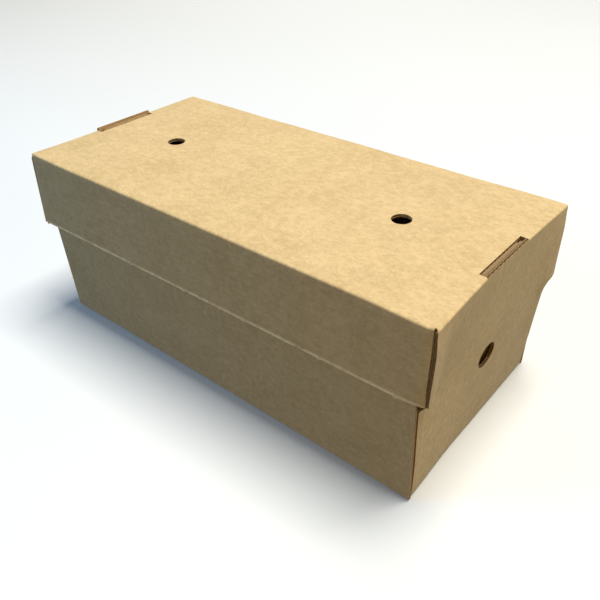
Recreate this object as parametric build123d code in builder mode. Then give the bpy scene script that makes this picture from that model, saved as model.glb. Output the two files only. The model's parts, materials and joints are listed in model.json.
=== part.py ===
"""Burger box folded from brown single-wall board.

X runs along the box, with the hinged end at +X. Y runs across it, with the front at -Y.
Z is up from the floor. The origin is on the floor, under the middle of the whole box.
"""
from build123d import *
import os

# Board and outer size
board = 1.5
half_board = board / 2
fold_radius = 1.25
fold_length = 230.0
lid_width = 108.0
height = 90.0
rim_depth = 37.0
rim_flare = 1.2
rim_fold_radius = 1.2

# Clearances between the tray and the lid that closes over it
lid_gap = 0.3
rim_end_gap = 0.2

# Tray walls
side_draw_in = 0.7
end_draw_in = 6.0
raw_end_reach = 0.2
bend_radius = 14.0
shoulder_radius = 2.5
panel_edge_inset = 0.5
panel_gap_at_base = 0.9
panel_gap_at_shoulder = 1.0
flap_length = 24.0
flap_margin = 8.0
glue_bite = 0.5
flap_sink = board / 2
bottom_lap = 6.0
lock_setback = 3.0

# Slots at the ends of the lid, and the locking tabs that stand in them
slot_length = 34.0
hinge_slot_depth = 3.8
slot_edge_drop = 0.7
far_slot_shift = 2.5
tab_length = 30.0
tab_radius = 2.0
tab_gap = 0.4
hinge_tab_sink = 0.3
hinge_tab_shift = -1.5
far_tab_stand = 0.6

# Vent holes
lid_vent_diameter = 8.8
end_vent_diameter = 12.2
lid_vent_spread = 136.0
end_vent_height = 41.0

# Places worked out from the sizes above
hinge_x = (fold_length + rim_flare) / 2
far_x = hinge_x - fold_length
under_lid = height - board
rim_bottom = height - rim_depth
wall_top = under_lid - lid_gap
wall_half_top = lid_width / 2 - board - lid_gap
wall_half_base = wall_half_top - side_draw_in
wall_half_inner = wall_half_base - board
hinge_base_x = hinge_x - end_draw_in
far_base_x = far_x + end_draw_in
far_top_x = far_x + board + lid_gap
hinge_foot = hinge_base_x - raw_end_reach - half_board
far_foot = far_base_x + raw_end_reach + half_board
lock_base_x = hinge_foot - lock_setback
lock_top_x = hinge_x - hinge_slot_depth + tab_gap + board
far_slot_edge_x = far_top_x + raw_end_reach + board + tab_gap
reach = fold_length + lid_width


def beside(points, distance):
    """The same path moved to its right by a distance, with each corner on its bisector."""
    path = [Vector(*point) for point in points]
    runs = [(end - start).normalized() for start, end in zip(path, path[1:])]
    before = [runs[0]] + runs
    after = runs + [runs[-1]]
    moved = []
    for point, run_in, run_out in zip(path, before, after):
        bisector = (run_in + run_out).normalized()
        sideways = bisector.rotate(Axis.Z, -90)
        moved.append(point + sideways * (distance / bisector.dot(run_in)))
    return moved


def board_run(plane, points, radii=(fold_radius,), thickness=board):
    """Section of a run of board that turns left at its folds, thickened about its middle line."""
    with BuildSketch(plane) as run:
        with BuildLine():
            outer, inner = (
                FilletPolyline(*beside(points, side), radius=[r + side for r in radii])
                if len(points) > 2
                else Line(*beside(points, side))
                for side in (thickness / 2, -thickness / 2)
            )
            Line(outer @ 0, inner @ 0)
            Line(outer @ 1, inner @ 1)
        make_face()
    return run.sketch


def lock_wall(path, tab_middle, tab_top):
    """End wall that stands between the long walls, with a locking tab and a vent hole."""
    with BuildPart() as wall:
        extrude(board_run(Plane.XZ, path), amount=wall_half_inner + glue_bite, both=True)
        with BuildSketch(Plane.YZ):
            with Locations((0, wall_top / 2)):
                Rectangle(lid_width, wall_top)
            with Locations((tab_middle, tab_top / 2)):
                RectangleRounded(tab_length, tab_top, tab_radius)
            with Locations((0, end_vent_height)):
                Circle(end_vent_diameter / 2, mode=Mode.SUBTRACT)
        extrude(amount=reach, both=True, mode=Mode.INTERSECT)
    return wall.part


# Long walls and bottom, one U of board with raw ends that follow the lean of the end walls
with BuildPart() as trough:
    base_corner = (wall_half_base - half_board, half_board)
    top_edge = (wall_half_top - half_board, wall_top)
    section = [(-top_edge[0], top_edge[1]), (-base_corner[0], base_corner[1]), base_corner, top_edge]
    extrude(board_run(Plane.YZ, section, (fold_radius, fold_radius)), amount=reach, both=True)
    with BuildSketch(Plane.XZ):
        Polygon(
            (far_base_x, 0),
            (hinge_base_x, 0),
            (lock_top_x + raw_end_reach, wall_top),
            (far_top_x, wall_top),
            align=None,
        )
    extrude(amount=reach, both=True, mode=Mode.INTERSECT)
    with BuildSketch(Plane.XY):
        with Locations((hinge_foot - fold_radius, 0)):
            Rectangle(reach, 2 * wall_half_inner, align=(Align.MIN, Align.CENTER))
        with Locations((far_foot, 0)):
            Rectangle(reach, 2 * wall_half_inner, align=(Align.MAX, Align.CENTER))
    extrude(amount=board, mode=Mode.SUBTRACT)

# End panel in view: up from the bottom fold, out to the rims' shoulders, then straight to the hinge
with BuildPart() as hinge_panel:
    path = [
        (hinge_foot - bottom_lap, half_board),
        (hinge_foot, half_board),
        (hinge_x - half_board, rim_bottom),
        (hinge_x - half_board, height),
    ]
    extrude(board_run(Plane.XZ, path, (fold_radius, bend_radius)), amount=lid_width / 2, both=True)
    half_cover = lid_width / 2 - panel_edge_inset
    half_shoulder = wall_half_inner - panel_gap_at_shoulder
    half_base = wall_half_inner - panel_gap_at_base
    with BuildSketch(Plane.YZ):
        with BuildLine():
            FilletPolyline(
                (0, 0),
                (half_base, 0),
                (half_shoulder, rim_bottom),
                (half_cover, rim_bottom),
                (half_cover, height),
                (0, height),
                radius=[0, shoulder_radius / 2, shoulder_radius, 0],
            )
            mirror(about=Plane.YZ)
        make_face()
        with Locations((0, end_vent_height)):
            Circle(end_vent_diameter / 2, mode=Mode.SUBTRACT)
    extrude(amount=reach, both=True, mode=Mode.INTERSECT)
    with BuildSketch(Plane.XZ, mode=Mode.PRIVATE) as fold_mitre:
        Polygon((hinge_x, height), (hinge_x - board, height), (hinge_x - board, under_lid), align=None)
    for side in (-1, 1):
        start = side * (slot_length / 2 - lid_gap)
        mitre = fold_mitre.sketch.moved(Location((0, start, 0)))
        extrude(mitre, amount=-side * reach, mode=Mode.SUBTRACT)
    with BuildSketch(Plane.XY.offset(height - slot_edge_drop)):
        with Locations((hinge_x, 0)):
            Rectangle(reach, slot_length)
    extrude(amount=board, mode=Mode.SUBTRACT)

# Glue flaps folded back from the end walls, flat against the insides of the long walls
with BuildPart() as flaps:
    flap_thickness = board + flap_sink
    flap_middle = board - flap_sink + flap_thickness / 2
    flap_line = [(wall_half_base - flap_middle, 0), (wall_half_top - flap_middle, wall_top)]
    extrude(board_run(Plane.YZ, flap_line, thickness=flap_thickness), amount=reach, both=True)
    with BuildSketch(Plane.XZ):
        for base_x, top_x, inward in ((lock_base_x, lock_top_x, -1), (far_base_x, far_top_x, 1)):
            face = inward * board / 2
            free_end = inward * (board + flap_length)
            Polygon(
                (base_x + face, flap_margin),
                (base_x + free_end, 2 * flap_margin),
                (base_x + free_end, wall_top - 2 * flap_margin),
                (top_x + face, wall_top - flap_margin),
                align=None,
            )
    extrude(amount=reach, both=True, mode=Mode.INTERSECT)
    mirror(about=Plane.XZ)

# Locking end walls: one behind the end panel in view, and one folded up from the bottom's far end
hinge_lean = (lock_top_x - lock_base_x) / wall_top
lock_foot = lock_base_x - half_board
hinge_path = [(lock_foot, 0), (lock_foot + hinge_lean * height, height)]
hinge_lock = lock_wall(hinge_path, hinge_tab_shift, height - hinge_tab_sink)
far_lean = (far_top_x - far_base_x) / wall_top
far_tab_top = height + far_tab_stand
far_path = [(far_foot, 0), (far_foot + far_lean * (far_tab_top + board), far_tab_top + board)]
far_lock = lock_wall(far_path, far_slot_shift, far_tab_top)

# Tray: everything that stays put when the lid opens
with BuildPart() as tray:
    add(trough.part)
    add(flaps.part)
    add(hinge_lock)
    add(far_lock)
    add(hinge_panel.part)
tray.part.label = "tray"


def skirt(level, inset):
    """Plan of the lid's rims at one level, which spread towards their lower edge."""
    spread = rim_flare * (height - level) / rim_depth
    with BuildSketch(Plane.XY.offset(level)) as plan:
        with Locations((hinge_x, 0)):
            Rectangle(
                fold_length + spread - inset,
                lid_width + 2 * spread - 2 * inset,
                align=(Align.MAX, Align.CENTER),
            )
    return plan.sketch


# Lid: the top with three rims, open at the hinge end, where the end panel covers the rims' ends
with BuildPart() as lid:
    loft([skirt(rim_bottom, 0), skirt(height, 0)])
    top_folds = lid.edges().group_by(Axis.Z)[-1].sort_by(Axis.X)[:-1]
    fillet(top_folds, rim_fold_radius)
    loft([skirt(rim_bottom, board), skirt(under_lid, board)], mode=Mode.SUBTRACT)
    with BuildSketch(Plane.XY.offset(rim_bottom)):
        with Locations((hinge_x - board - rim_end_gap, 0)):
            Rectangle(reach, reach, align=(Align.MIN, Align.CENTER))
    extrude(amount=rim_depth - board, mode=Mode.SUBTRACT)
    with BuildSketch(Plane.XZ):
        Polygon((hinge_x, height), (hinge_x, under_lid), (hinge_x - board, under_lid), align=None)
    extrude(amount=reach, both=True, mode=Mode.SUBTRACT)
    with BuildSketch(Plane.XY.offset(under_lid)):
        with Locations((hinge_x - hinge_slot_depth, 0)):
            Rectangle(reach, slot_length, align=(Align.MIN, Align.CENTER))
        with Locations((far_slot_edge_x, far_slot_shift)):
            Rectangle(far_slot_edge_x - far_x - board, slot_length, align=(Align.MAX, Align.CENTER))
        with Locations((-lid_vent_spread / 2, 0), (lid_vent_spread / 2, 0)):
            Circle(lid_vent_diameter / 2)
    extrude(amount=board, mode=Mode.SUBTRACT)
    with BuildSketch(Plane.XY.offset(height - slot_edge_drop)):
        with Locations((far_slot_edge_x, far_slot_shift)):
            Rectangle(reach, slot_length, align=(Align.MAX, Align.CENTER))
    extrude(amount=board, mode=Mode.SUBTRACT)
lid.part.label = "lid"

os.makedirs("parts", exist_ok=True)
export_step(tray.part, "parts/tray.step")
export_step(lid.part, "parts/lid.step")
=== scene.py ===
# %% [markdown]
# # A burger box folded from brown board
# The box is two folded pieces of single-wall board: a tray, and a deep lid hinged on the tray's
# short end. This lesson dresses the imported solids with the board's three papers, its folds, its
# cut edges and its vents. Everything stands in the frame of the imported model, in metres: sizes are
# named in millimetres and scaled as each mesh is made.

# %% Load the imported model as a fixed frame
import json
import math
import bpy
import numpy as np
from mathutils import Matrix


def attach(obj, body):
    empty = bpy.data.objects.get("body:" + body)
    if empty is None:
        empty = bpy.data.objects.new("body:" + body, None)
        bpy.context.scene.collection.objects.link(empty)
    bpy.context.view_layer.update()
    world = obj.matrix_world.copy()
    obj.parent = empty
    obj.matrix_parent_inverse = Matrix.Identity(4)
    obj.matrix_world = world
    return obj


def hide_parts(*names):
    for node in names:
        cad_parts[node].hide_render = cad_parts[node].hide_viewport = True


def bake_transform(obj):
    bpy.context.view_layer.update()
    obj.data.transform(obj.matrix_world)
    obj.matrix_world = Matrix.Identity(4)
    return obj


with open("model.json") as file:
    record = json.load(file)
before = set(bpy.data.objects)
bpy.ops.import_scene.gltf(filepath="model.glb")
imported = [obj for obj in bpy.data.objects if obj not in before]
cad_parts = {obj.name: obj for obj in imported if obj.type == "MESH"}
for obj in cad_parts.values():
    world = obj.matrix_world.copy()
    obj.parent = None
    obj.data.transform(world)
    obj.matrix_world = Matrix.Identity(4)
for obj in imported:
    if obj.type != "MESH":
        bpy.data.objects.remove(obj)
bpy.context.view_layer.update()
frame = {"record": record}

hinge = frame["record"]["behaviour"]["joints"][0]["pos_m"]

# %% [markdown]
# Pieces, camera and lights all go into the scene the same way.

# %% Add an object
def added(name, data, axes=np.eye(3), place=(0, 0, 0)):
    """A new object that stands at place. Its own three axes are the rows of axes."""
    made = bpy.data.objects.new(name, data)
    bpy.context.scene.collection.objects.link(made)
    placed = np.eye(4)
    placed[:3, :3], placed[3, :3] = axes, place
    made.matrix_world = placed.tolist()
    return made


# %% [markdown]
# The board is what a maker calls E-flute: two flat papers, the liners, with a wavy paper between
# them. The sizes below are in millimetres, because board is cut and folded to the millimetre.
# They are those of the solids, so each dressed piece lies where its solid does. Only the folds are
# sharper, and the rims end 0.8 mm higher, because the photograph shows them so.

# %% Sizes of the board and the box
MM = 0.001
board = 1.5
half = board / 2
liner = 0.3
flute_paper = 0.2
flute_pitch = 3.2
flute_swing = half - liner - flute_paper / 2

# The box: the lid lies on the tray, and the hinge is the outer edge of the near fold
hinge_x = hinge[0] / MM
height = hinge[2] / MM
fold_length = 230.0
lid_width = 108.0
far_x = hinge_x - fold_length
top_middle = height - half
rim_bottom = 53.8
rim_flare = 1.2
fold_radius = 0.25
base_fold_radius = 0.7
panel_half = 53.5
rim_reach = 113.9
wall_top = 88.2
lid_gap = 0.3
end_draw_in = 6.0
side_draw_in = 0.7
raw_end_reach = 0.2

# Vents, slots and the tabs that stand in them
lid_vents = (-68.0, 68.0)
lid_vent_radius = 4.4
end_vent_height = 41.0
end_vent_radius = 6.1
slot_half = 17.0
hinge_slot_depth = 3.8
far_slot_edge_x = -110.5
far_slot_shift = 2.5
tab_half = 15.0
tab_corner = 2.0
tab_gap = 0.4
hinge_tab_shift, hinge_tab_sink, far_tab_stand = -1.5, 0.3, 0.6
print("flutes across the lid:", round(lid_width / flute_pitch))

# %% [markdown]
# ## The camera
# The camera stands where the photograph was taken from. Its place was found by fitting a camera to
# the corners of the lid, the rims, the base and the vents. The fit gives the focal length and the
# picture's optical centre in pixels, and the lens shift moves the centre to where it was.

# %% Camera
picture_width = 600
focal_pixels = 689.04
centre_column, centre_row = 319.64, 280.66
camera_place = (0.197621, -0.211772, 0.225758)
view_azimuth, view_height, view_roll = (math.radians(angle) for angle in (39.293, 33.859, -1.186))
back = np.array([
    math.sin(view_azimuth) * math.cos(view_height),
    -math.cos(view_azimuth) * math.cos(view_height),
    math.sin(view_height),
])
level = np.cross((0.0, 0.0, 1.0), back)
level /= np.linalg.norm(level)
upright = np.cross(back, level)
right = math.cos(view_roll) * level + math.sin(view_roll) * upright
up = math.cos(view_roll) * upright - math.sin(view_roll) * level

camera = added("camera", bpy.data.cameras.new("camera"), [right, up, back], camera_place)
camera.data.sensor_width = 36.0
camera.data.lens = focal_pixels / picture_width * camera.data.sensor_width
camera.data.shift_x = (picture_width / 2 - centre_column) / picture_width
camera.data.shift_y = (centre_row - picture_width / 2) / picture_width
camera.data.clip_start = 0.01
bpy.context.scene.camera = camera
print("lens in mm:", round(camera.data.lens, 2))

# %% [markdown]
# ## Shader maths in plain expressions
# A paper's colour is a sum of several noises. Written as Math nodes by hand that is long and hard
# to read, so one small class wraps a socket and lets + - * build the nodes.

# %% A shader value that takes part in sums
class Shade:
    """A socket of a material or a world; each operator adds the Math node that works it out."""

    def __init__(self, recipe, socket):
        self.recipe, self.socket = recipe, socket

    def _math(self, operation, *terms):
        return self.recipe.node("ShaderNodeMath", {"operation": operation}, dict(enumerate(terms)))

    def __add__(self, other):
        return self._math("ADD", self, other)

    def __sub__(self, other):
        return self._math("SUBTRACT", self, other)

    def __rsub__(self, other):
        return self._math("SUBTRACT", other, self)

    def __mul__(self, other):
        return self._math("MULTIPLY", self, other)

    def wave(self):
        """Sine of the value."""
        return self._math("SINE", self)

    def within(self, low, high):
        """Smooth step from 0 at low to 1 at high."""
        ramp = {"interpolation_type": "SMOOTHSTEP"}
        ends = {"Value": self, 1: low, 2: high, 3: 0.0, 4: 1.0}
        return self.recipe.node("ShaderNodeMapRange", ramp, ends)

    __radd__ = __add__
    __rmul__ = __mul__


class Recipe:
    """The nodes of one material or world, which is its owner."""

    def __init__(self, owner):
        self.owner = owner
        owner.use_nodes = True
        self.tree = owner.node_tree
        self.tree.nodes.clear()

    def node(self, kind, settings=(), sockets=(), output=0):
        """Any node: its settings first, then the values or links of its sockets."""
        made = self.tree.nodes.new(kind)
        for name, value in dict(settings).items():
            setattr(made, name, value)
        for name, value in dict(sockets).items():
            if isinstance(value, Shade):
                self.tree.links.new(value.socket, made.inputs[name])
            else:
                made.inputs[name].default_value = value
        return Shade(self, made.outputs[output]) if len(made.outputs) else made

    def noise(self, where, stretch, detail, roughness, seed):
        """Noise over a place in millimetres, with its own scale along each direction of the sheet."""
        spread = self.node("ShaderNodeVectorMath", {"operation": "MULTIPLY_ADD"},
                           {0: where, 1: stretch, 2: (seed, seed * 1.7, seed * 0.6)})
        return self.node("ShaderNodeTexNoise", {"noise_dimensions": "3D"},
                         {"Vector": spread, "Scale": 1.0, "Detail": detail, "Roughness": roughness})

    def mix(self, factor, first, second):
        """Colour that goes from the first to the second as the factor goes from 0 to 1."""
        return self.node("ShaderNodeMix", {"data_type": "RGBA"}, {0: factor, 6: first, 7: second}, output=2)

    def finish(self, colour, roughness, bump, strength, distance, sheen=0.0):
        """Principled paper over a bump of the given strength and distance in metres."""
        relief = self.node("ShaderNodeBump", (), {
            "Height": bump, "Strength": strength, "Distance": distance,
        })
        paper = self.node("ShaderNodeBsdfPrincipled", (), {
            "Base Color": colour, "Roughness": roughness, "Normal": relief,
            "Specular IOR Level": 0.25, "Sheen Weight": sheen, "Sheen Roughness": 0.6,
        })
        self.node("ShaderNodeOutputMaterial", (), {"Surface": paper})
        return self.owner


# %% [markdown]
# ## Papers
# An image of real board would show its repeats, so the papers are worked out from noise. Kraft
# liner is pulp that has run along the paper machine, so its fibres lie mostly along the
# sheet. It shows cloudy patches, short flecks along the grain and a few dark specks of bark. The
# pattern follows the flat sheet that was cut and folded, which each piece carries as an attribute:
# along the flutes, across them, and through the board.

# %% Kraft liners and flute paper
# Height band of the paler line along the rims' cut lower edges: worn fibre and a painted highlight.
worn_and_lit_width = 0.0006
rim_edge_level = 0.0543


def kraft(name, light, dark, seed, worn_and_lit_at=None):
    """Cloudy kraft: mix of two browns by slow clouds, flecks along the grain and fine grit.

    Near the given height, where the rims' lower edges were cut, the liner is paler: partly worn, crushed
    fibre, partly a painted highlight where the turned-out edge catches the light."""
    recipe = Recipe(bpy.data.materials.new(name))
    sheet = recipe.node("ShaderNodeAttribute", {"attribute_name": "flat_sheet"}, (), output=1)
    clouds = recipe.noise(sheet, (0.05, 0.06, 0.3), 2.0, 0.5, seed)
    mottle = recipe.noise(sheet, (0.30, 0.38, 0.5), 4.0, 0.65, seed + 3.1)
    flecks = recipe.noise(sheet, (0.70, 1.35, 0.8), 3.0, 0.6, seed + 7.7)
    grit = recipe.noise(sheet, (2.3, 3.0, 2.0), 2.0, 0.6, seed + 11.3)
    hairs = recipe.noise(sheet, (0.7, 5.0, 1.0), 1.0, 0.5, seed + 17.9)
    across = recipe.node("ShaderNodeSeparateXYZ", (), {0: sheet}, output=1)
    ribs = (across * (2 * math.pi / flute_pitch)).wave()
    tone = (clouds - 0.5) * 0.5 + (mottle - 0.5) * 1.2 + (flecks - 0.5) * 0.8 + (grit - 0.5) * 1.0
    tone = (tone + 0.5 + ribs * 0.012).within(0.06, 0.94)
    colour = recipe.mix(tone, (*dark, 1.0), (*light, 1.0))
    specks = recipe.noise(sheet, (1.3, 1.9, 1.0), 2.0, 0.5, seed + 23.0).within(0.735, 0.80)
    bark = (dark[0] * 0.45, dark[1] * 0.4, dark[2] * 0.4, 1.0)
    colour = recipe.mix(specks * 0.55, colour, bark)
    bleached = (min(light[0] * 1.2, 1), light[1] * 1.22, light[2] * 1.4, 1.0)
    colour = recipe.mix(hairs.within(0.66, 0.76) * 0.22, colour, bleached)
    # Painted highlight, partly: a paler band along the rims' lower edges, worn fibre and light caught by the
    # turned-out edge.
    if worn_and_lit_at:
        place = recipe.node("ShaderNodeTexCoord", (), (), output=3)
        level = recipe.node("ShaderNodeSeparateXYZ", (), {0: place}, output=2)
        worn_and_lit_band = level.within(worn_and_lit_at + worn_and_lit_width, worn_and_lit_at) * mottle.within(0.25, 0.6)
        colour = recipe.mix(worn_and_lit_band * 0.85, colour, (1.0, 0.80, 0.50, 1.0))
    roughness = 0.80 + (mottle - 0.5) * 0.18 - specks * 0.1
    relief = ribs * 0.35 + (flecks - 0.5) * 0.7 + (grit - 0.5) * 0.5 + (mottle - 0.5) * 0.8
    return recipe.finish(colour, roughness, relief, 0.5, 0.00008, sheen=0.06)


def flute_stock(name, light, dark, seed):
    """Thin recycled paper of the flutes and the cut edges: warm brown, with torn fibres."""
    recipe = Recipe(bpy.data.materials.new(name))
    sheet = recipe.node("ShaderNodeAttribute", {"attribute_name": "flat_sheet"}, (), output=1)
    pulp = recipe.noise(sheet, (1.6, 1.6, 3.0), 3.0, 0.65, seed)
    fibres = recipe.noise(sheet, (4.0, 6.0, 6.0), 2.0, 0.6, seed + 5.0)
    tone = ((pulp - 0.5) * 1.4 + (fibres - 0.5) * 0.9 + 0.5).within(0.1, 0.9)
    colour = recipe.mix(tone, (*dark, 1.0), (*light, 1.0))
    return recipe.finish(colour, 0.88 + (pulp - 0.5) * 0.1, fibres + pulp, 0.5, 0.00008)


lid_kraft = kraft("lid_kraft", (0.80, 0.585, 0.315), (0.60, 0.425, 0.205), 2.0, rim_edge_level)
tray_kraft = kraft("tray_kraft", (0.78, 0.57, 0.31), (0.585, 0.415, 0.205), 41.0)
inner_kraft = kraft("inner_kraft", (0.70, 0.50, 0.26), (0.50, 0.345, 0.165), 83.0)
liner_edge = flute_stock("liner_edge", (0.66, 0.47, 0.25), (0.44, 0.29, 0.14), 9.0)
# Painted shade: a darker copy of the edge paper, for the flutes and for cut edges that lie in shade.
shaded_cut_edge = flute_stock("shaded_cut_edge", (0.44, 0.285, 0.145), (0.22, 0.135, 0.065), 5.0)
# Painted shade: a darker, more orange copy of the edge paper for the far rim's strip in the far slot.
slot_shade_paper = flute_stock("slot_shade_paper", (0.42, 0.185, 0.05), (0.24, 0.10, 0.025), 13.0)
lid_papers = (lid_kraft, inner_kraft, liner_edge, shaded_cut_edge, slot_shade_paper)
wall_papers = (tray_kraft, inner_kraft, liner_edge, shaded_cut_edge)
# The end panel and the locking walls wear the darker edge paper on their cut edges: painted shade.
tray_papers = (tray_kraft, inner_kraft, shaded_cut_edge, shaded_cut_edge)
print("papers:", [paper.name for paper in (*lid_papers, tray_kraft)])

# %% [markdown]
# ## Folding a flat sheet
# Board is folded along straight lines, so in section it is a line of straight runs and small arcs.
# A fold line answers where a point of the flat sheet goes: walk the distance along the line, then
# step off it along the normal by the height above the board's middle surface.

# %% A fold line
class FoldLine:
    """The board's middle line in section. Its outer side is on the left of its heading.

    Along an arc the heading turns in step with the distance. The place is the arc's start plus a
    chord: distance times sinc(half the turn), at the first heading plus half the turn."""

    def __init__(self, corners, radii=()):
        corners = np.array(corners, float)
        steps = np.diff(corners, axis=0)
        heading = np.arctan2(steps[:, 1], steps[:, 0])
        turn = (np.diff(heading) + np.pi) % (2 * np.pi) - np.pi
        self.radii = np.array(radii, float)
        trim = np.abs(self.radii * np.tan(turn / 2))
        straight = np.hypot(steps[:, 0], steps[:, 1]) - np.append(0, trim) - np.append(trim, 0)
        arcs = np.abs(turn) * self.radii
        lengths = np.zeros(2 * len(straight) - 1)
        lengths[0::2], lengths[1::2] = straight, arcs
        bend = np.zeros(len(lengths))
        bend[1::2] = turn / np.maximum(arcs, 1e-9)
        self.bend = bend
        self.marks = np.append(0, np.cumsum(lengths))
        self.heading = np.repeat(heading, 2)[:len(lengths)]
        chords = lengths * np.sinc(bend * lengths / (2 * np.pi))
        aims = self.heading + bend * lengths / 2
        moves = np.column_stack([chords * np.cos(aims), chords * np.sin(aims)])
        self.starts = corners[0] + np.vstack([np.zeros(2), np.cumsum(moves, axis=0)[:-1]])

    def at(self, distance, lift=0.0):
        """Place and outward normal after a distance; the first and last runs go on straight."""
        run = np.clip(np.searchsorted(self.marks, distance, side="right") - 1, 0, len(self.bend) - 1)
        gone = distance - self.marks[run]
        turned = self.bend[run] * gone
        chord = gone * np.sinc(turned / (2 * np.pi))
        aim = self.heading[run] + turned / 2
        normal = np.stack([-np.sin(self.heading[run] + turned), np.cos(self.heading[run] + turned)])
        place = self.starts[run].T + chord * np.stack([np.cos(aim), np.sin(aim)])
        return place + lift * normal, normal

    def pressed(self, distance, lift):
        """The inner side's lift, thinned near a fold in step with the distance to it over half a board."""
        starts, ends = self.marks[1:-1:2, None], self.marks[2:-1:2, None]
        away = np.maximum(np.maximum(starts - distance, distance - ends), 0)
        room = (away + 0.85 * self.radii[:, None]).min(axis=0, initial=half)
        return np.where(lift < 0, lift * room / half, lift)

    def distance_to(self, value, axis):
        """Distance at which the line first has this value of its first or second coordinate."""
        tried = np.linspace(0, self.marks[-1], 8001)
        return float(tried[np.argmin(np.abs(self.at(tried)[0][axis] - value))])


sample = FoldLine([(0, 0), (10, 0), (10, -10)], [1.0])
print("20 mm of line with a 1 mm fold becomes", round(sample.marks[-1], 2), "mm")

# %% [markdown]
# ## Ruling the flat sheet
# The flat sheet is ruled with lines along and across, close together where it folds. Vents are
# punched by taking out a square of cells and filling the space between square and circle with
# rings. Numpy does this for the whole sheet at once.

# %% Ruled sheets and vents
def ruled(stops, step):
    """Lines through every stop, with no gap wider than the step (one step, or one for each gap)."""
    stops = np.array(stops, float)
    steps = np.broadcast_to(step, len(stops) - 1)
    parts = [np.linspace(a, b, max(int(np.ceil((b - a) / s - 1e-6)), 1), endpoint=False)
             for a, b, s in zip(stops, stops[1:], steps)]
    return np.append(np.concatenate(parts), stops[-1])


def in_order(*groups):
    """Every place in the groups once, in rising order."""
    return np.unique(np.round(np.concatenate([np.ravel(group) for group in groups]), 6))


def ruled_folds(stops, folds, coarse, fine):
    """Ruled lines with fine steps inside a fold and coarse ones elsewhere."""
    middle = (stops[1:] + stops[:-1]) / 2
    folded = np.zeros(len(middle), bool)
    for start, end in folds:
        folded |= (middle > start) & (middle < end)
    return ruled(stops, np.where(folded, fine, coarse))


def sheet_grid(along, across, keep=None):
    """Corner points and four-cornered cells of a ruled sheet; keep says which cells stay, by centre."""
    s, w = np.meshgrid(along, across, indexing="ij")
    number = np.arange(s.size).reshape(s.shape)
    corners = [number[:-1, :-1], number[1:, :-1], number[1:, 1:], number[:-1, 1:]]
    cells = np.stack(corners, -1).reshape(-1, 4)
    flat = np.column_stack([s.ravel(), w.ravel()])
    if keep is not None:
        middle = flat[cells].mean(axis=1)
        cells = cells[keep(middle[:, 0], middle[:, 1])]
    return flat, cells


def punch(flat, cells, centre, square, radius, rings=4):
    """A round hole: rings go from the square's edge to the circle in equal shares of the distance."""
    offset = flat - np.array(centre)
    middle = flat[cells].mean(axis=1) - np.array(centre)
    cells = cells[np.abs(middle).max(axis=1) > square]
    border = np.flatnonzero(np.abs(np.abs(offset).max(axis=1) - square) < 1e-6)
    angle = np.arctan2(offset[border, 1], offset[border, 0])
    border, angle = border[np.argsort(angle)], np.sort(angle)
    circle = np.array(centre) + radius * np.column_stack([np.cos(angle), np.sin(angle)])
    share = (np.arange(1, rings + 1) / rings)[:, None, None]
    inner = (1 - share) * flat[border] + share * circle
    numbers = np.vstack([border, len(flat) + np.arange(rings * len(border)).reshape(rings, -1)])
    ahead = np.roll(numbers, -1, axis=1)
    ring_cells = np.stack([numbers[:-1], ahead[:-1], ahead[1:], numbers[1:]], -1).reshape(-1, 4)
    return np.vstack([flat, inner.reshape(-1, 2)]), np.vstack([cells, ring_cells])


print("lines of a 10 mm run ruled at 3 mm:", ruled([0, 10], 3.0))

# %% [markdown]
# ## Layers of the board
# Each paper is a closed layer with its own thickness, so a cut edge shows two liners and the wave
# between them, as real board does. A face names its paper by its place in the piece's list.

# %% Liners and flutes
OUTER, INNER, EDGE, FLUTE, SLOT_EDGE = range(5)


def slab(flat, cells, place, low, high, papers):
    """A closed layer: the sheet at two lifts, joined by a wall round each edge that one cell owns."""
    used, cells = np.unique(cells, return_inverse=True)
    flat, cells = flat[used], cells.reshape(-1, 4)
    lifts = [lift(flat) if callable(lift) else lift for lift in (low, high)]
    low, high = (np.broadcast_to(lift, len(flat)) for lift in lifts)
    top, bottom = place(flat, high), place(flat, low)
    edges = np.concatenate([cells[:, [k, (k + 1) % 4]] for k in range(4)])
    name = np.sort(edges, axis=1) @ np.array([len(flat), 1])
    _, first, count = np.unique(name, return_index=True, return_counts=True)
    rim = edges[first[count == 1]]
    walls = np.column_stack([rim[:, 1], rim[:, 0], rim[:, 0] + len(flat), rim[:, 1] + len(flat)])
    faces = np.vstack([cells, cells[:, ::-1] + len(flat), walls])
    corner = top[cells]
    facing = np.cross(corner[:, 2] - corner[:, 0], corner[:, 3] - corner[:, 1])
    if (facing * (top - bottom)[cells[:, 0]]).sum() < 0:
        faces = faces[:, ::-1]
    paper = np.repeat(papers, [len(cells), len(cells), len(walls)])
    sheet = np.vstack([np.column_stack([flat[:, :2], high]), np.column_stack([flat[:, :2], low])])
    return {"points": np.vstack([top, bottom]), "faces": faces, "paper": paper,
            "smooth": np.arange(len(faces)) < 2 * len(cells), "sheet": sheet}


def liners(flat, cells, place, edge=EDGE):
    """The two flat papers of the board, one on each side of the flutes."""
    return [slab(flat, cells, place, half - liner, half, (OUTER, edge, edge)),
            slab(flat, cells, place, -half, liner - half, (edge, INNER, edge))]


def flutes(flat, cells, place, crushed=lambda sheet: 0.0, paper=FLUTE):
    """The wavy paper: its lift is a sine of the distance across the flutes, and flat where crushed."""
    swing = flute_swing * np.sin(2 * np.pi * flat[:, 1] / flute_pitch) * (1 - crushed(flat))
    thick = flute_paper / 2 + (half - liner - flute_paper / 2) * crushed(flat)
    sheet = np.column_stack([flat, swing, np.broadcast_to(thick, len(flat))])
    return [slab(sheet, cells, place, lambda s: s[:, 2] - s[:, 3], lambda s: s[:, 2] + s[:, 3],
                 (paper, paper, paper))]


print("the wave swings", round(flute_swing, 2), "mm to each side")

# %% [markdown]
# ## From layers to an object
# A piece goes to Blender as one mesh. Its cut edges are marked sharp, so that smooth shading stops
# there, and its body in the record carries it when the lid opens.

# %% One Blender object
cut_angle = math.radians(50)


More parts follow.
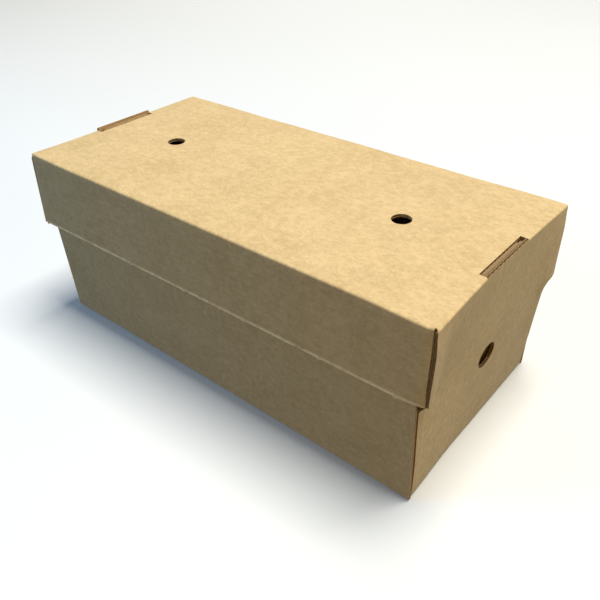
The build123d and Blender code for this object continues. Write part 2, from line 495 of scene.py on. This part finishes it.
def piece(name, layers, papers, body=None):
    """One Blender object from its layers, with its papers and its body."""
    count = np.cumsum([0] + [len(layer["points"]) for layer in layers])
    points = np.vstack([layer["points"] for layer in layers])
    faces = np.vstack([layer["faces"] + start for layer, start in zip(layers, count)])
    mesh = bpy.data.meshes.new(name)
    mesh.from_pydata((points * MM).tolist(), [], faces.tolist())
    mesh.polygons.foreach_set("material_index", np.concatenate([layer["paper"] for layer in layers]))
    mesh.polygons.foreach_set("use_smooth", np.concatenate([layer["smooth"] for layer in layers]))
    sheet = mesh.attributes.new("flat_sheet", "FLOAT_VECTOR", "POINT")
    places = np.vstack([layer["sheet"] for layer in layers]).astype(np.float32)
    sheet.data.foreach_set("vector", places.ravel())
    for paper in papers:
        mesh.materials.append(paper)
    mesh.set_sharp_from_angle(angle=cut_angle)
    mesh.update()
    made = added(name, mesh)
    if body:
        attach(made, body)
    print(name, "has", 2 * len(faces), "triangles")
    return made


# %% [markdown]
# ## The lid
# The lid is one sheet shaped like a T: the top, a rim folded down along each long side, and a rim
# at the far end. It bends along the box at the far fold and across the box at the long folds, and
# never both at once, so its place is the sum of two fold lines. A real lid isn't quite flat: it
# bows up in the middle and sinks towards the hinge, and its front rim spreads at the far end. A
# sculpted mesh could show that too, but a sum of slow shifts keeps every layer in step.

# %% How the lid has settled
roll_depth, roll_reach = 0.7, 16.0
near_pull, back_pull, pull_reach = 1.3, 0.8, 14.0
pull_low, pull_high = 50.0, 88.0
hinge_sink, far_back_sink, far_front_lift = 0.6, 0.3, 0.2
corner_lift, lift_reach = 0.5, 14.0
bow_height = 0.9
far_spread, near_draw_in = 0.9, 0.4
tuck, tuck_x, tuck_z, tuck_reach = 1.1, 101.0, 64.0, 13.0
slant, slant_x, slant_reach = 0.5, 100.0, 14.0
curl, curl_x, curl_reach = 0.6, 110.3, 3.6


def smooth(share):
    """Smooth step from 0 to 1."""
    share = np.clip(share, 0, 1)
    return share * share * (3 - 2 * share)


def eased(value, start, end):
    """Smooth step from 0 at the start to 1 at the end, in either direction."""
    return smooth((value - start) / (end - start))


def rolled(x, y):
    """The near corner of the hinge fold has rolled over: a bell in x times a bell in y."""
    return roll_depth * np.exp(-((x - hinge_x) / roll_reach) ** 2 - ((y + lid_width / 2) / roll_reach) ** 2)


def pulled(x, y, z):
    """The ends of the hinge fold are pulled out, in step with the distance beyond the slot's ends."""
    beyond = np.clip(np.abs(y) - slot_half, 0, None) / (lid_width / 2 - slot_half)
    out = np.where(y < 0, near_pull, back_pull) * beyond
    return out * smooth(1 - (hinge_x - x) / pull_reach) * eased(z, pull_low, pull_high)


def lid_settled(points):
    """Each point moves by a sum of slow shifts: u runs along the lid, v across it, depth down a rim.

    The top sinks towards the hinge and bows up in the middle; its near corner rolls over and its
    far front corner stands up. The front rim spreads at its far end, is tucked in at its lower near
    corner and curls in at its cut end; the rims' cut ends slant, and their folds ripple."""
    x, y, z = points
    u = np.clip((x - far_x) / fold_length, 0, 1)
    v = np.clip((y + lid_width / 2) / lid_width, 0, 1)
    depth = np.clip((height - z) / (height - rim_bottom), 0, 1)
    sideways = np.abs(y) / (lid_width / 2)
    front = np.clip(-y / (lid_width / 2), 0, 1) ** 8
    corners = -far_back_sink * (1 - u) * v + far_front_lift * (1 - u) * (1 - v) - hinge_sink * u
    bow = bow_height * 4 * v * (1 - v) * (0.5 + 0.6 * u) * np.clip(4 * u * (1 - u), 0, 1)
    ripple = 0.16 * np.sin(x / 17 + 1.3) + 0.10 * np.sin(x / 7.1 + 0.4)
    spread = (far_spread * (1 - u) - near_draw_in * u) * depth * front
    tucked = tuck * np.clip((x - tuck_x) / tuck_reach + (tuck_z - z) / tuck_reach - 1, 0, 1) * front
    edge = np.sign(y) * sideways ** 6 * (1 - depth)
    slanted = slant * np.clip(depth - 0.05, 0, 1) * np.clip((x - slant_x) / slant_reach, 0, 1)
    slanted = slanted * sideways ** 8
    curled = curl * np.clip((x - curl_x) / curl_reach, 0, 1) ** 2 * front
    raised = corner_lift * np.exp(-((x - far_x) / lift_reach) ** 2 - ((y + lid_width / 2) / lift_reach) ** 2)
    fall = (bow + 0.35 * ripple + raised - rolled(x, y)) * (1 - depth)
    return np.stack([
        x + slanted + pulled(x, y, z),
        y - spread + tucked + curled + 0.5 * ripple * edge,
        z + corners * (1 - 0.5 * depth) + fall,
    ])


print("hinge fold pulled out by", near_pull, "mm in front and", back_pull, "mm behind")

# %% [markdown]
# The lid's two fold lines share one height for the top. The sheet is cut so that the far rim, a
# little wider than the top, covers the ends of the long rims.

# %% The lid's fold lines
lid_along = FoldLine(
    [(far_x + half - rim_flare, rim_bottom), (far_x + half, top_middle), (hinge_x - half, top_middle),
     (hinge_x - half, rim_bottom)],
    [fold_radius, fold_radius])
side = lid_width / 2 - half
lid_across = FoldLine(
    [(-side - rim_flare, rim_bottom), (-side, top_middle), (side, top_middle),
     (side + rim_flare, rim_bottom)],
    [fold_radius, fold_radius])
across_middle = lid_across.marks[-1] / 2
far_widening, widening_run = 0.02, 1.5
burr_out, burr_width = 0.3, 0.5
fold_start, fold_end, crease_start, crease_end = lid_along.marks[1:5]


def lid_distance(x):
    """Distance along the lid's sheet at which the top has this x."""
    return fold_end + x - lid_along.at(fold_end)[0][0]


def burr(flat):
    """The last half millimetre of each rim turns out, in step with the nearness of the cut edge."""
    to_edge = np.minimum(np.minimum(flat[:, 1], lid_across.marks[-1] - flat[:, 1]), flat[:, 0])
    return burr_out * np.clip(1 - to_edge / burr_width, 0, 1)


def lid_place(flat, lift, along=lid_along):
    """Sum of the two fold lines: x from one, y from the other, and both falls below the top.

    Below the far fold the sheet widens a little, so the far rim covers the long rims' ends."""
    (x, fall_x), (nx, nz_x) = along.at(flat[:, 0])
    (y, fall_y), (ny, nz_y) = lid_across.at(flat[:, 1])
    y = y * (1 + far_widening * np.clip((fold_start - flat[:, 0]) / widening_run, 0, 1))
    lift = lid_across.pressed(flat[:, 1], along.pressed(flat[:, 0], lift)) + burr(flat)
    normal = np.stack([nx, ny, nz_x * nz_y])
    normal /= np.linalg.norm(normal, axis=0)
    return lid_settled(np.stack([x, y, fall_x + fall_y - top_middle]) + lift * normal).T


print("the lid's flat sheet is", round(crease_start), "by", round(lid_across.marks[-1]), "mm")

# %% [markdown]
# The rims' lower edges were held in the sheet by small nicks, and each leaves a tuft of torn
# fibres where it was pulled free.

# %% The lid's outline
nicks = np.array([-110.5, -80.0, -44.0, -8.0, 28.0, 68.0, 103.0])
tuft_out, tuft_width, tuft_depth = 0.9, 0.6, 1.5
rim_end = lid_distance(rim_reach)
front_fold, back_fold = lid_across.marks[1:3], lid_across.marks[3:5]
slot_edge = lid_distance(hinge_x - hinge_slot_depth)
far_slot_edge = lid_distance(far_slot_edge_x)
far_slot = across_middle + far_slot_shift + np.array([-slot_half, slot_half])


def lid_cells(along, across):
    """Cells of the T, without the slots and the far corners, where rims are cut apart."""
    on_top = (across > front_fold[1]) & (across < back_fold[0])
    beyond = along < fold_start
    in_slot = (along > slot_edge) & (np.abs(across - across_middle) < slot_half)
    in_far_slot = (along > fold_start) & (along < far_slot_edge)
    in_far_slot &= (across > far_slot[0]) & (across < far_slot[1])
    past_rims = (along < fold_end) & ((across < front_fold[0]) | (across > back_fold[1]))
    at_hinge = (along > rim_end) & ~on_top
    return ~(beyond & ~on_top) & ~past_rims & ~at_hinge & ~in_slot & ~in_far_slot


def torn(flat):
    """Tufts: the front rim's last millimetre and a half runs out by a bell curve round each nick."""
    x = flat[:, 0] - lid_distance(0)
    tuft = np.exp(-((x[:, None] - nicks) / tuft_width) ** 2).sum(axis=1)
    edge = np.clip(1 - flat[:, 1] / tuft_depth, 0, 1)
    moved = flat.copy()
    moved[:, 1] -= tuft_out * tuft * edge
    return moved


print("tufts along the front rim:", len(nicks))

# %% [markdown]
# The sheet is ruled closely at its folds, its nicks and its cut edges. The slots and the T's free
# corners are left out cell by cell, and the two vents are punched.

# %% The lid's top and rims
lid_square, end_square = 1.5 * lid_vent_radius, 1.5 * end_vent_radius
vent_at = [lid_distance(x) for x in lid_vents]
vent_sides = np.ravel([(vent - lid_square, vent + lid_square) for vent in vent_at])
along_marks = [0, fold_start - widening_run, fold_start, fold_end, far_slot_edge, slot_edge, rim_end,
               crease_start]
near_nicks = lid_distance(nicks)[:, None] + np.array([-1.2, -0.6, -0.3, 0, 0.3, 0.6, 1.2])
along_stops = in_order(along_marks, burr_width, near_nicks, vent_sides)
near_middle = across_middle + np.array([-slot_half, slot_half, -lid_square, lid_square])
cut_strip = np.array([0, burr_width, tuft_depth])
across_stops = in_order(cut_strip, front_fold, far_slot, near_middle, back_fold,
                        lid_across.marks[-1] - cut_strip)
along_lines = ruled_folds(along_stops, [(fold_start, fold_end)], 3.0, 0.1)
across_lines = ruled_folds(across_stops, [front_fold, back_fold], 1.9, 0.1)
flat, cells = sheet_grid(along_lines, across_lines, lid_cells)
for vent in vent_at:
    flat, cells = punch(flat, cells, (vent, across_middle), lid_square, lid_vent_radius)
lid_layers = liners(torn(flat), cells, lid_place)

# The far rim's edge in the slot stands straight up instead of folding.
far_rim = FoldLine([(far_x + half - rim_flare, rim_bottom), (far_x + half, top_middle)])
strip_height, flute_gap = 2.1, 0.05
strip = sheet_grid(ruled([fold_start, fold_start + strip_height], 0.6), ruled(far_slot, 1.0))
# The strip's cut edges and flutes wear the slot's darker paper: painted shade.
lid_layers += liners(*strip, lambda flat, lift: lid_place(flat, lift, far_rim), SLOT_EDGE)
lid_cover = piece("lid_cover", lid_layers, lid_papers, "lid")
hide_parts("lid")

# %% [markdown]
# The flutes need closer lines than the liners, because each wave takes eight steps, so they are a
# piece of their own inside the lid.

# %% The lid's flutes
wave_step = flute_pitch / 8
long_lines = ruled(in_order(along_marks, vent_sides), 9.0)
flat, cells = sheet_grid(long_lines, ruled(across_stops, wave_step), lid_cells)
for vent in vent_at:
    flat, cells = punch(flat, cells, (vent, across_middle), lid_square, lid_vent_radius, 3)
flute_layers = flutes(flat, cells, lid_place)
strip_top = fold_start + strip_height - flute_gap
strip = sheet_grid(ruled([fold_start, strip_top], 0.6), ruled(far_slot, wave_step))
flute_layers += flutes(*strip, lambda flat, lift: lid_place(flat, lift, far_rim),
                       lambda sheet: (sheet[:, 0] > strip_top - 0.15) * 1.0, SLOT_EDGE)
piece("lid_flutes", flute_layers, lid_papers, "lid")

# %% [markdown]
# ## The end panel
# The end panel comes up from the bottom, leans out to the rims' height, bends upright, widens at
# two shoulders and covers the rims' ends. The lid hangs on its top fold. The panel could be cut
# from a sheet with a boolean, but then the flutes would end in slivers, so its ruled sheet is
# stretched sideways to the outline.

# %% Tray line along the box, and how the tray has settled
tray_end_x = hinge_x - end_draw_in
panel_foot = tray_end_x - raw_end_reach - half
panel_top = top_middle - fold_radius
shoulder = 53.0
shoulder_bend = 14.0
bottom_lap = 6.0
panel_line = FoldLine(
    [(hinge_x - half, panel_top), (hinge_x - half, shoulder), (panel_foot, half),
     (panel_foot - bottom_lap, half)],
    [shoulder_bend, base_fold_radius])
skew, near_press, skew_half, skew_level = 1.7, 0.6, 50.0, 47.0
shoulder_push, foot_push = 0.45, 1.6
base_widening, widening_top = 0.027, 69.0
under_top = 88.0


def tray_settled(points):
    """The tray's hinged end sinks with the lid, in step with its height, and its end wall bows in.

    Between the shoulders the end wall is flat from the bottom to the hinge, so it lies inside the
    solid's bent line by the difference. The ends of the rims hold the shoulders out, the edge
    below the near shoulder is pressed in, and the near foot stands out to the front wall's end.
    Low down, the tray is a little wider at this end."""
    x, y, z = points
    u = np.clip((x - far_x) / fold_length, 0, 1)
    rise = np.clip((z - 40) / 50, 0, 1)
    under_lid = eased(z, under_top, skew_level)
    bent_in = end_draw_in * (np.minimum(z / shoulder, 1) - z / height)
    turned = skew * y / skew_half - near_press * (y / skew_half) ** 2
    skewed = turned * np.clip(z / skew_level, 0, 1) * under_lid
    held = eased(z, 45, 55) * eased(np.abs(y), 37, 52)
    inward = (bent_in - skewed) * (1 - held) - shoulder_push * held * eased(z, under_top, 78)
    foot_out = foot_push * np.clip(1 - z / skew_level, 0, 1) * eased(-y, 15, 50)
    outward = pulled(x, y, z) - (inward - foot_out) * eased(x, 102, 114)
    wider = 1 + base_widening * u ** 2 * np.clip(1 - z / widening_top, 0, 1)
    return np.stack([x + outward, y * wider, z - (hinge_sink * u ** 6 + rolled(x, y)) * rise])


print("the end panel's line is", round(panel_line.marks[-1], 1), "mm long")

# %% [markdown]
# The panel's outline steps out at the shoulders. Its ruled sheet keeps a core of constant width, and
# the strips beside the core follow the outline.

# %% The end panel
panel_core = 46.0


def panel_half_width(z):
    """Half width of the end panel: nearly straight, a step out at the shoulder, then the full width."""
    neck, base, outer_round, inner_round = 49.6, 49.3, 2.5, 1.25
    low = neck + (base - neck) * (shoulder - z) / shoulder
    rise = np.clip((z - shoulder) / outer_round, 0, 1)
    round_out = panel_half - outer_round + outer_round * np.sqrt(np.clip(1 - (1 - rise) ** 2, 0, 1))
    drop = np.clip((z - shoulder + inner_round) / inner_round, 0, 1)
    round_in = low + inner_round * (1 - np.sqrt(np.clip(1 - drop ** 2, 0, 1)))
    return np.where(z >= shoulder - 1e-4, round_out, round_in)


def panel_place(flat, lift):
    """The fold line gives x and z; the sheet's outer strips stretch sideways to the panel's outline."""
    down = flat[:, 0] - crease_end
    (x, z), (nx, nz) = panel_line.at(down)
    y = flat[:, 1] - across_middle
    lift = panel_line.pressed(down, lid_along.pressed(flat[:, 0], lift))
    reach = panel_half_width(z)
    side_strip = np.clip(np.abs(y) - panel_core, 0, None) / (panel_half - panel_core)
    y = np.sign(y) * (np.minimum(np.abs(y), panel_core) + side_strip * (reach - panel_core))
    points = np.stack([x + lift * nx, y, z + lift * nz])
    return tray_settled(points).T


panel_vent = crease_end + panel_line.distance_to(end_vent_height, 1)
at_shoulder = crease_end + panel_line.distance_to(shoulder, 1)


def panel_cells(along, across):
    """Above the fold only the strip behind the slot goes on."""
    return (along > crease_end) | (np.abs(across - across_middle) < slot_half)


seam = 0.02
panel_stops = np.array([
    crease_end - 0.9, crease_end, crease_end + seam,
    at_shoulder - 2.7, at_shoulder - 1.0, at_shoulder, at_shoulder + seam, at_shoulder + 1.6,
    panel_vent - end_square, panel_vent + end_square, *(crease_end + panel_line.marks[3:6]),
])
one_side = np.array([end_square, slot_half, panel_core, 51.0, panel_half])
panel_sides = across_middle + np.append(-one_side[::-1], one_side)
panel_steps = [0.75, seam, 3, 0.3, 0.2, 1, 0.3, 3, 1.5, 3, 0.2, 3]
flat, cells = sheet_grid(ruled(panel_stops, panel_steps), ruled(panel_sides, 1.9), panel_cells)
flat, cells = punch(flat, cells, (panel_vent, across_middle), end_square, end_vent_radius)
piece("end_panel", liners(flat, cells, panel_place), tray_papers, "tray")
flute_steps = [0.75, seam, 6, 0.8, 0.6, 1, 0.8, 6, 3, 6, 0.5, 6]
flat, cells = sheet_grid(ruled(panel_stops, flute_steps), ruled(panel_sides, wave_step), panel_cells)
flat, cells = punch(flat, cells, (panel_vent, across_middle), end_square, end_vent_radius, 3)
piece("end_panel_flutes", flutes(flat, cells, panel_place), tray_papers, "tray")

# %% [markdown]
# ## The hinge fold
# The fold between the end panel and the lid is two strips, one each side of the slot. Each runs
# from the tray to the lid, so its shape is blended between how the lid and the tray have settled,
# square to its own line, because the fold's ends are pulled out.

# %% The hinge fold
def crease_place(flat, lift):
    """Settles with the lid where it meets the lid and with the tray where it meets the end panel."""
    (x, z), (nx, nz) = lid_along.at(flat[:, 0])
    lift = lid_along.pressed(flat[:, 0], lift)
    points = np.stack([x + lift * nx, flat[:, 1] - across_middle, z + lift * nz])
    share = smooth((flat[:, 0] - crease_start) / (crease_end - crease_start))
    return ((1 - share) * lid_settled(points) + share * tray_settled(points)).T


fold_lines = ruled([crease_start, crease_start + seam, crease_end - seam, crease_end], 0.1)
strip_sides = np.array([-panel_half + 0.2, -slot_half])
for name, sides in (("hinge_fold_front", strip_sides), ("hinge_fold_back", -strip_sides[::-1])):
    strip = slab(*sheet_grid(fold_lines, ruled(across_middle + sides, 1.9)), crease_place,
                 -half, half, (OUTER, INNER, EDGE))
    hinge_fold = piece(name, [strip], lid_papers)
    ends = crease_place(np.column_stack([[crease_start, crease_start], across_middle + sides]), 0.0)
    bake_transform(hinge_fold)

# %% [markdown]
# ## The long walls and the bottom
# The long walls and the bottom are one U of board. The walls' raw ends lean with the end walls, so
# the sheet's last strips are stretched to that lean, and the flutes are crushed at the cut.

# %% The long walls and the bottom
far_end_x = far_x + end_draw_in
wall_half = lid_width / 2 - board - lid_gap - half
base_half = wall_half - side_draw_in
tray_across = FoldLine(
    [(wall_half, wall_top), (base_half, half), (-base_half, half), (-wall_half, wall_top)],
    [base_fold_radius, base_fold_radius])
bottom_zone = tray_across.marks[2:4]
bottom_end = panel_foot - base_fold_radius
far_foot = far_end_x + raw_end_reach + half
far_lean = -(end_draw_in - board - lid_gap) / wall_top
stretch_from = 100.0
back_lean = 3.1 / wall_top
front_out, front_lean = 1.1, 0.6 / skew_level


def tray_place(flat, lift):
    """The fold line gives y and z; the sheet's end strips stretch to the lean of the raw ends."""
    (y, z), (ny, nz) = tray_across.at(flat[:, 1])
    lift = tray_across.pressed(flat[:, 1], lift)
    x = flat[:, 0]
    near_end = tray_end_x + np.where(y > 0, back_lean * z, front_out - front_lean * z)
    ends = np.where(x > 0, near_end, -far_end_x - far_lean * z)
    full = np.where(x > 0, tray_end_x, -far_end_x)
    strip = np.clip(np.abs(x) - stretch_from, 0, None) / (full - stretch_from)
    x = np.sign(x) * (np.minimum(np.abs(x), stretch_from) + strip * (ends - stretch_from))
    settled = tray_settled(np.stack([x, y + lift * ny, z + lift * nz]))
    return np.stack([x, settled[1], settled[2]], -1)


def trough_cells(along, across):
    """The bottom stops short of the walls' ends, where the end walls' folds begin."""
    in_bottom = (across > bottom_zone[0]) & (across < bottom_zone[1])
    return ~(in_bottom & ((along > bottom_end) | (along < far_foot + base_fold_radius)))


trough_along = np.array([far_end_x, far_foot + base_fold_radius, -stretch_from, stretch_from, bottom_end,
                         tray_end_x])
trough_across = tray_across.marks
trough_lines = ruled_folds(trough_across, [trough_across[1:3], trough_across[3:5]], 4.0, 0.2)
flat, cells = sheet_grid(ruled(trough_along, 4.0), trough_lines, trough_cells)
walls = liners(flat, cells, tray_place)

far_corners = [(-stretch_from, half), (far_foot, half), (far_foot + far_lean * height, height)]
far_bend = FoldLine(far_corners, [base_fold_radius])


def far_bend_place(flat, lift):
    """The fold line gives x and z of the bottom's far fold, which is straight across the box."""
    (x, z), (nx, nz) = far_bend.at(flat[:, 0])
    lift = far_bend.pressed(flat[:, 0], lift)
    return np.stack([x + lift * nx, flat[:, 1], z + lift * nz], -1)


far_wall_foot = 3.0
round_far_fold = ruled([*far_bend.marks[1:3], far_bend.distance_to(far_wall_foot, 1)], 0.35)
across_bottom = ruled([-base_half + base_fold_radius, base_half - base_fold_radius], 4.0)
walls += liners(*sheet_grid(round_far_fold, across_bottom), far_bend_place)
tray_walls = piece("tray_walls", walls, wall_papers, "tray")
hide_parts("tray")
crush = np.array([0.2, 0.9])
flute_lines = np.sort([*(far_end_x + crush), *trough_along, *(tray_end_x - crush)])


def crushed_ends(sheet):
    """1 within 0.3 mm of the walls' cut ends, where the knife crushed the flutes, and 0 elsewhere."""
    return ((sheet[:, 0] > tray_end_x - 0.3) | (sheet[:, 0] < far_end_x + 0.3)) * 1.0


flat, cells = sheet_grid(ruled(flute_lines, 12.0), ruled(trough_across, wave_step), trough_cells)
wall_flutes = flutes(flat, cells, tray_place, crushed_ends)
piece("tray_flutes", wall_flutes, wall_papers, "tray")

# %% [markdown]
# ## The locking walls
# Behind the end panel, and at the far end, a wall stands between the long walls. A glue flap is
# folded from each of its sides along the long wall, and a tab on its top edge stands in the lid's
# slot. In plan it is a U of board, so the fold line lies flat and the sheet rises from it. One
# function makes both walls, because they differ only in their place, lean and tab.

# %% The locking walls
flap_length = 24.0
flap_margin = 8.0
flap_half = base_half - board - 0.05
level_low, level_high = 20.0, 70.0


def lock_wall(name, foot_x, lean, inward, tab_middle, tab_top, foot):
    """One wall with its flaps. Plan from the fold line; height between a lower and an upper outline."""
    turn = -inward
    corners = [(foot_x + inward * (flap_length + half), turn * flap_half), (foot_x, turn * flap_half),
               (foot_x, -turn * flap_half), (foot_x + inward * (flap_length + half), -turn * flap_half)]
    plan = FoldLine(corners, [base_fold_radius, base_fold_radius])
    middle = plan.marks[-1] / 2
    tab_at = middle - turn * tab_middle

    def heights(s):
        """Outline: the wall's full height, the flaps' slanting ends, and the tab with eased corners."""
        into_flap = np.clip((np.abs(s - middle) - flap_half) / flap_length, 0, 1)
        on_flap = np.abs(s - middle) > flap_half
        low = np.where(on_flap, flap_margin + flap_margin * into_flap, foot)
        high = np.where(on_flap, wall_top - flap_margin - flap_margin * into_flap, wall_top)
        past = np.clip(np.abs(s - tab_at) - tab_half + tab_corner, 0, tab_corner)
        tab = tab_top - tab_corner + np.sqrt(np.clip(tab_corner ** 2 - past ** 2, 0, None))
        return low, np.where(np.abs(s - tab_at) <= tab_half, np.maximum(high, tab), high)

    def place(flat, lift):
        """The middle rows stay level; the rows below and above stretch to the outline."""
        (x, y), (nx, ny) = plan.at(flat[:, 1])
        lift = plan.pressed(flat[:, 1], lift)
        z = flat[:, 0]
        low, high = heights(flat[:, 1])
        below, above = level_low - z, z - level_high
        z = np.where(below > 0, level_low - below * (level_low - low) / level_low, z)
        z = np.where(above > 0, level_high + above * (high - level_high) / (height - level_high), z)
        y = y * (1 + side_draw_in / flap_half * z / wall_top)
        return tray_settled(np.stack([x + lean * z + lift * nx, y + lift * ny, z])).T

    rows = np.array([0, level_low, end_vent_height - end_square, end_vent_height + end_square, level_high,
                     height - 1.2, height - 0.6, height])
    folds = [plan.marks[1:3], plan.marks[3:5]]
    to_tab_side = np.array([-2, -0.8, -0.2, 0, seam])
    columns = in_order(plan.marks, middle - flap_half - 0.01, middle + flap_half + 0.01,
                       tab_at + tab_half + to_tab_side, tab_at - tab_half - to_tab_side,
                       middle - end_square, middle + end_square)
    flat, cells = sheet_grid(ruled(rows, 2.5), ruled_folds(columns, folds, 2.0, 0.2))
    flat, cells = punch(flat, cells, (end_vent_height, middle), end_square, end_vent_radius)
    layers = liners(flat, cells, place)
    flat, cells = sheet_grid(ruled(rows, 5.0), ruled(columns, wave_step))
    flat, cells = punch(flat, cells, (end_vent_height, middle), end_square, end_vent_radius, 3)
    layers += flutes(flat, cells, place, lambda sheet: (sheet[:, 0] > height - 1) * 1.0)
    return piece(name, layers, tray_papers, "tray")


lock_back = panel_foot - 2 * board
lock_lean = (hinge_x - hinge_slot_depth + tab_gap + board - lock_back) / wall_top
lock_wall("hinge_lock_wall", foot_x=lock_back - half, lean=lock_lean, inward=-1,
          tab_middle=hinge_tab_shift, tab_top=height - hinge_tab_sink, foot=board + 0.05)
lock_wall("far_lock_wall", foot_x=far_foot, lean=far_lean, inward=1,
          tab_middle=far_slot_shift, tab_top=height + far_tab_stand, foot=far_wall_foot)

# %% [markdown]
# ## Stage and light
# The box stands on a pale floor. A wide soft light hangs above, a little behind it and towards the
# hinged end, so the top is bright, the end face is half as bright and the front is in shade. Two
# weak lights stand in front, a cool one on the left and a warm one on the right, because the front
# goes from grey-blue to warm brown in the photograph. The last two lights keep the end and the back
# readable. The floor sends no light back to the box, so the front is in shade down to its foot.

# %% Floor
floor_reach, floor_level = 6.0, -0.0002
floor_mesh = bpy.data.meshes.new("floor")
turns = [(-1, -1), (1, -1), (1, 1), (-1, 1)]
floor_corners = [(floor_reach * x, floor_reach * y, floor_level) for x, y in turns]
floor_mesh.from_pydata(floor_corners, [], [(0, 1, 2, 3)])
floor = added("floor", floor_mesh)
floor_paint = Recipe(bpy.data.materials.new("floor_paint"))
spot = floor_paint.node("ShaderNodeTexCoord", (), (), output=3)
clouding = floor_paint.node("ShaderNodeTexNoise", (), {"Vector": spot, "Scale": 3.0})
shade = floor_paint.mix(clouding, (0.86, 0.875, 0.91, 1.0), (0.88, 0.895, 0.93, 1.0))
floor_mesh.materials.append(floor_paint.finish(shade, 0.9, clouding, 0.02, 0.001))
floor.visible_diffuse = False
print("the floor is", 2 * floor_reach, "m wide")

# %% [markdown]
# The photograph is cut out on white, so the camera sees a near-white backdrop. Every other ray
# meets a dim sky, because one as bright would wash out the shade.

# %% Backdrop
bpy.context.scene.view_settings.view_transform = "Standard"
studio = Recipe(bpy.data.worlds.new("studio"))
bpy.context.scene.world = studio.owner
sky = studio.node("ShaderNodeBackground", (), {"Color": (0.99, 1.0, 0.997, 1.0), "Strength": 0.098})
backdrop = studio.node("ShaderNodeBackground", (), {"Color": (1.0, 1.0, 1.0, 1.0), "Strength": 0.95})
seen = studio.node("ShaderNodeLightPath")
either = studio.node("ShaderNodeMixShader", (), {0: seen, 1: sky, 2: backdrop})
studio.node("ShaderNodeOutputWorld", (), {"Surface": either})
print("world:", studio.owner.name)

# %% [markdown]
# Area lights are soft, and their power falls off with distance as real lamps' does, so the tones
# change slowly along the box. A sun would light each face evenly.

# %% Lights
def soft_light(name, place, aim, size, power, colour):
    """A square area light whose beam runs from its place to its aim."""
    lamp = bpy.data.lights.new(name, "AREA")
    lamp.shape, lamp.size, lamp.energy, lamp.color = "SQUARE", size, power, colour
    away = np.array(place) - np.array(aim)
    away /= np.linalg.norm(away)
    sideways = np.cross((0.0, 1.0, 0.0), away)
    sideways /= np.linalg.norm(sideways)
    return added(name, lamp, [sideways, np.cross(away, sideways), away], place)


soft_light("overhead", (0.30, 0.38, 2.2), (0, 0, 0.05), 1.0, 53.0, (1.0, 0.975, 0.865))
soft_light("cool_side", (-0.50, -0.55, 0.42), (-0.1, -0.05, 0.05), 0.3, 1.7, (0.0, 0.423, 1.0))
soft_light("warm_side", (0.46, -0.70, 0.36), (0.08, -0.05, 0.05), 0.3, 1.12, (1.0, 0.652, 0.097))
soft_light("end_side", (1.3, 0.30, 0.30), (0.1, 0.0, 0.05), 0.6, 3.64, (0.944, 1.0, 1.0))
soft_light("back_side", (-0.9, 1.2, 0.30), (-0.05, 0.0, 0.05), 0.6, 2.5, (1.0, 0.98, 0.92))
print("lights:", [light.name for light in bpy.data.lights])
